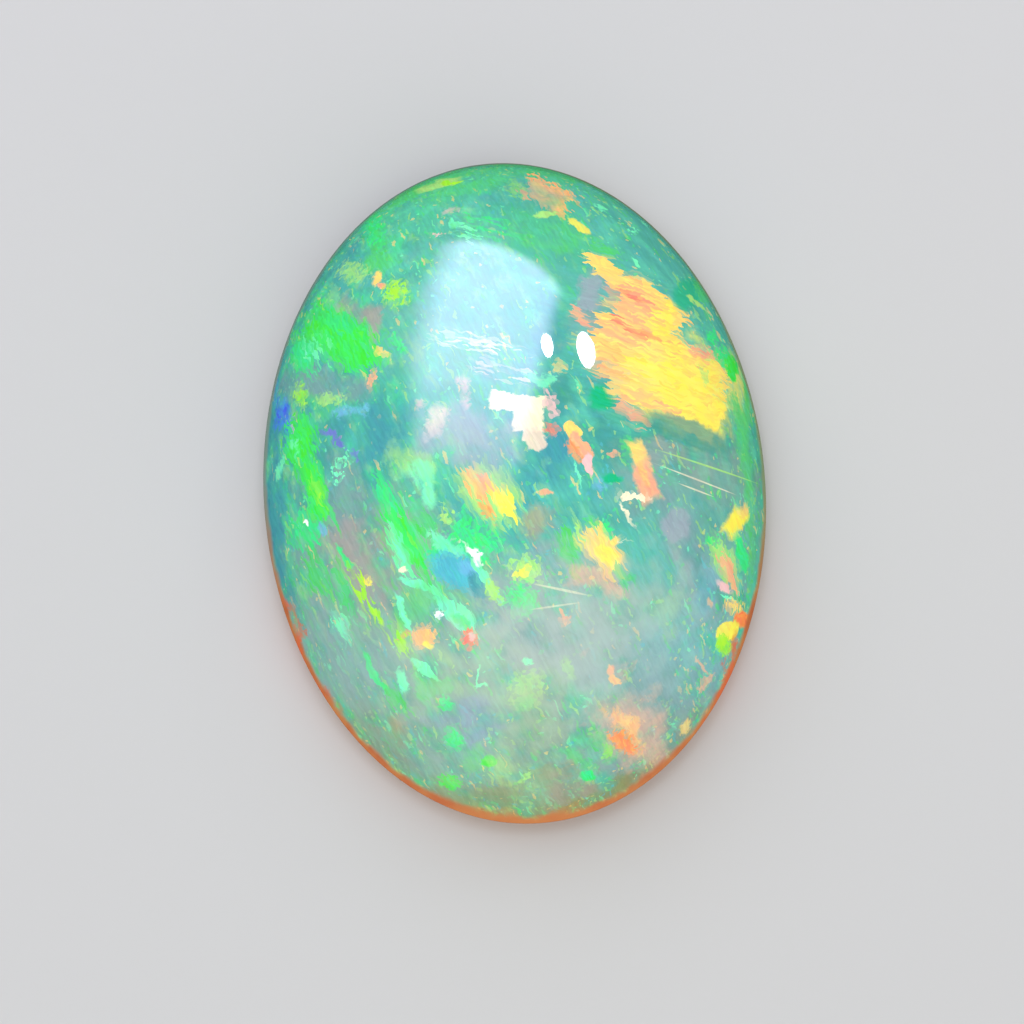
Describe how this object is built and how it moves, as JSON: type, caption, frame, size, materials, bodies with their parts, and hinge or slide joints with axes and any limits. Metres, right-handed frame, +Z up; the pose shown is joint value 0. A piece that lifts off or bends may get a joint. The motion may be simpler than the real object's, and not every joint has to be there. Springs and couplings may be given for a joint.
{
  "type": "oval opal cabochon",
  "caption": "Polished oval opal gemstone with a high dome, a thin girdle and a flat back, for setting in jewellery or showing as a loose stone.",
  "frame": {"origin": "the middle of the flat back, on the surface that the stone lies on", "axes": "+Z up through the top of the dome, +Y along the stone's length, +X across its width"},
  "size_m": [0.0096, 0.013, 0.0046],
  "materials": {
    "precious_opal": "milky translucent hydrated silica with green, gold, orange and blue play-of-colour; mirror-polished dome, satin ground back"
  },
  "bodies": {
    "root": {"opal_cabochon": "precious_opal"}
  },
  "joints": []
}
